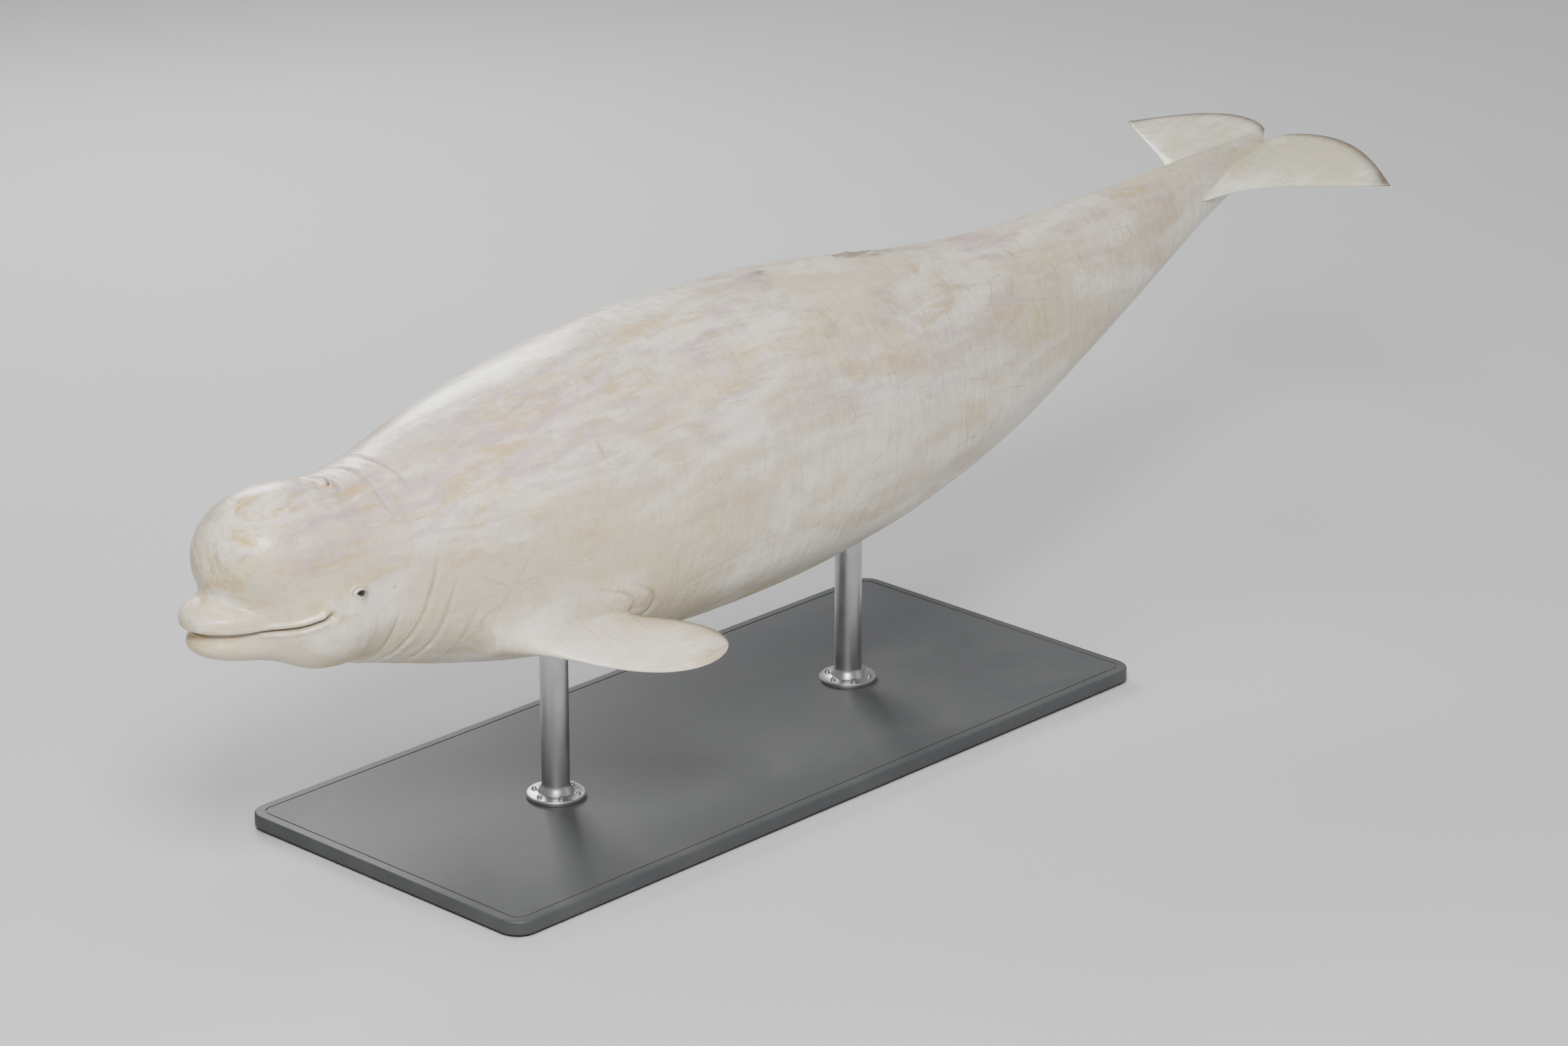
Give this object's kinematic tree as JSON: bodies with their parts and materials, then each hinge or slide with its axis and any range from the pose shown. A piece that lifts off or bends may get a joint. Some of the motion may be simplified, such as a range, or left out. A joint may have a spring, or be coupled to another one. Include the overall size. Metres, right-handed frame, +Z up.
{
  "type": "beluga whale model",
  "caption": "Life-size still model of a beluga whale swimming level with its tail lifted, on a plain flat display base with short rods.",
  "frame": {"origin": "centre of the display base's underside, which rests on the floor", "axes": "+X from the head towards the flukes, +Y towards the whale's right side, +Z up"},
  "size_m": [4.2683, 1.1842, 1.3231],
  "materials": {
    "skin": "satin",
    "eye": "gloss",
    "stand_base": "satin",
    "stand_rod": "satin"
  },
  "bodies": {
    "root": {"head": "skin", "lower_jaw": "skin", "neck": "skin", "torso": "skin", "flipper_left": "skin", "flipper_right": "skin", "tail_stock": "skin", "fluke_left": "skin", "fluke_right": "skin", "eye_left": "eye", "eye_right": "eye", "stand_base": "stand_base", "stand_rod_front": "stand_rod", "stand_rod_rear": "stand_rod"}
  },
  "joints": []
}
